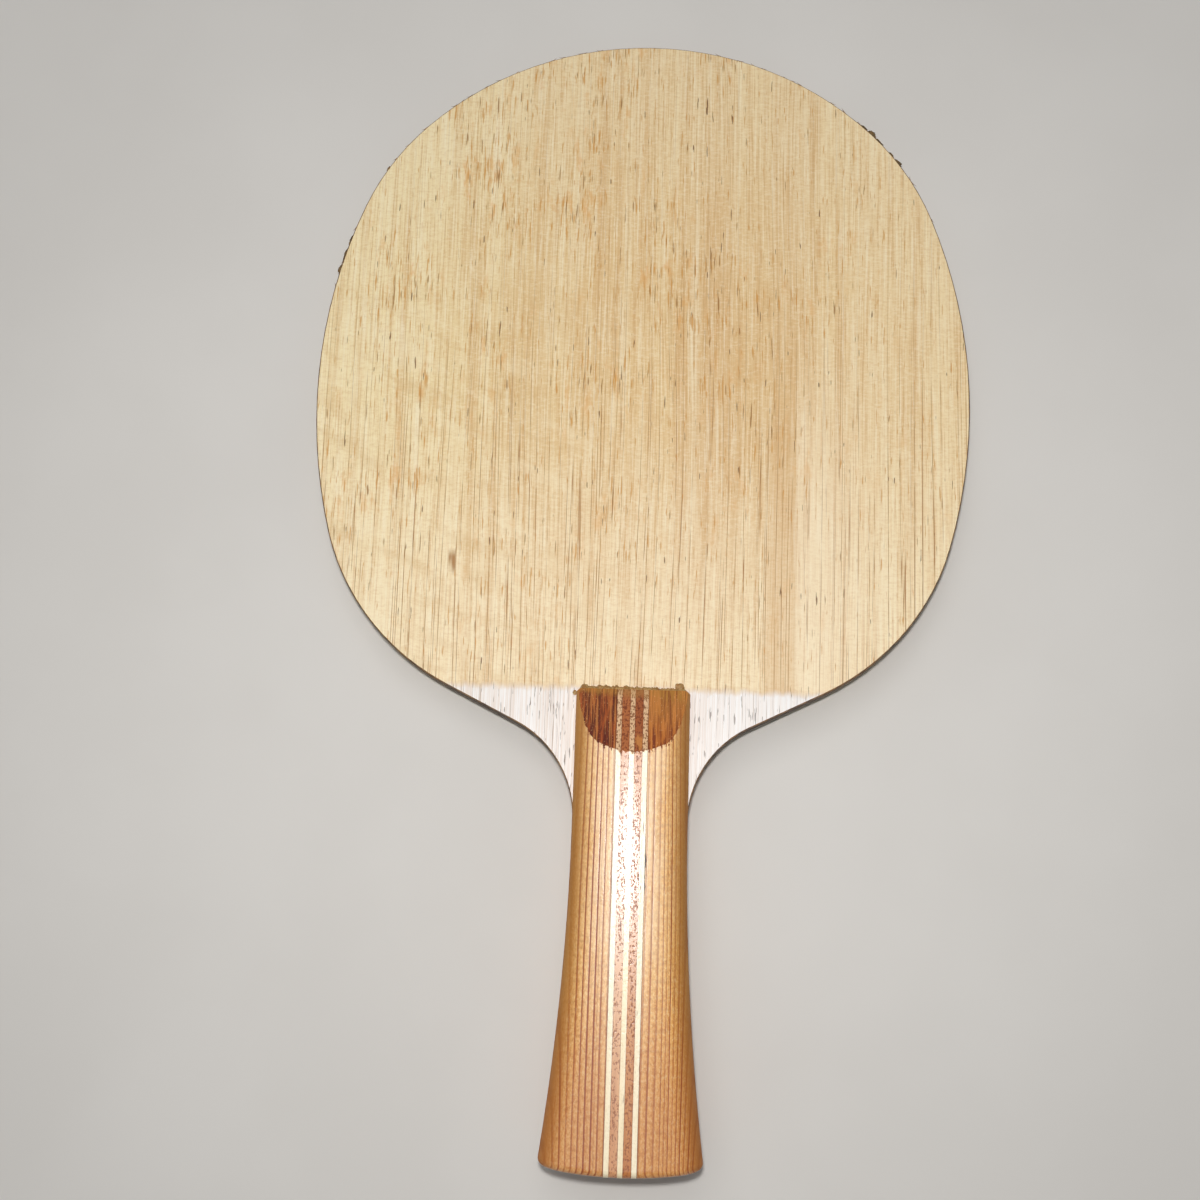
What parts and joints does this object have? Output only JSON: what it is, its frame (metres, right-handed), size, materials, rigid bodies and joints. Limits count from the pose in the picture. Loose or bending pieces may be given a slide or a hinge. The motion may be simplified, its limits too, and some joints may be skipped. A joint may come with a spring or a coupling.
{
  "type": "table tennis blade",
  "caption": "Bare wooden table tennis blade: a rounded plywood head with a slim neck and a flared handle of laminated scales glued to both faces.",
  "frame": {"origin": "middle of the whole length and width, on the mid-plane of the plies", "axes": "+Y along the blade towards the head's tip, +X across it to the right seen from the front, +Z out of the front playing face"},
  "size_m": [0.15, 0.2574, 0.0226],
  "materials": {
    "face_veneer": "bare sanded pale veneer, fine pores along the grain, sealed at the neck",
    "cross_veneer": "bare pale wood with its grain across the blade",
    "core_veneer": "bare pale wood with its grain along the blade",
    "block_wood": "lacquered honey-brown softwood with fine dark growth lines",
    "pale_strip": "lacquered cream wood",
    "brown_strip": "lacquered speckled red-brown wood"
  },
  "bodies": {
    "root": {"back_face_veneer": "face_veneer", "back_cross_veneer": "cross_veneer", "core_veneer": "core_veneer", "front_cross_veneer": "cross_veneer", "front_face_veneer": "face_veneer", "front_scale_left_block": "block_wood", "front_scale_left_pale_strip": "pale_strip", "front_scale_left_brown_strip": "brown_strip", "front_scale_middle_pale_strip": "pale_strip", "front_scale_right_brown_strip": "brown_strip", "front_scale_right_pale_strip": "pale_strip", "front_scale_right_block": "block_wood", "back_scale_left_block": "block_wood", "back_scale_left_pale_strip": "pale_strip", "back_scale_left_brown_strip": "brown_strip", "back_scale_middle_pale_strip": "pale_strip", "back_scale_right_brown_strip": "brown_strip", "back_scale_right_pale_strip": "pale_strip", "back_scale_right_block": "block_wood"}
  },
  "joints": []
}
